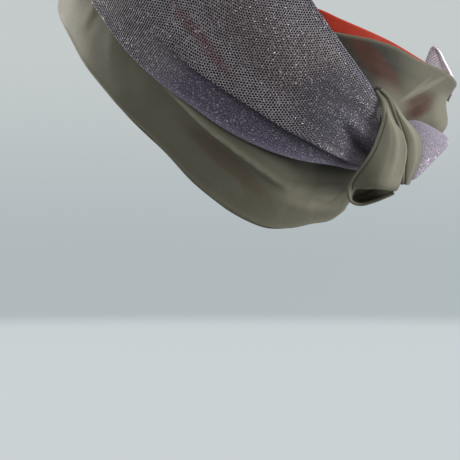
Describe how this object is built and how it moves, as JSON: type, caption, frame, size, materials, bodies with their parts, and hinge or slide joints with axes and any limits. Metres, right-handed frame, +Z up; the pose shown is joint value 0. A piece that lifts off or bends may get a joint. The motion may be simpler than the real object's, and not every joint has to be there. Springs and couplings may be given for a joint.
{
  "type": "turban",
  "caption": "Soft knotted turban headband of khaki satin under a lilac lurex net panel, open at the crown, tied behind the left ear in a loop with a short free tail.",
  "frame": {"origin": "middle of the head that fills the turban, between the temples, 90 mm below the top of the head", "axes": "+Z up as worn with the chin raised about 20 degrees, -Y forward over the brow, +X to the wearer's left, where the knot is"},
  "size_m": [0.1734, 0.208, 0.2078],
  "materials": {
    "satin": "khaki satin with a soft sheen",
    "lurex": "lilac net knitted with glittering metallised yarn",
    "lining": "plain red lining cloth"
  },
  "bodies": {
    "root": {"satin_band": "satin", "lurex_panel": "lurex", "back_wing": "satin", "wing_lining": "lining", "knot_wrap": "satin", "knot_fold": "satin", "lurex_tail": "lurex"}
  },
  "joints": []
}
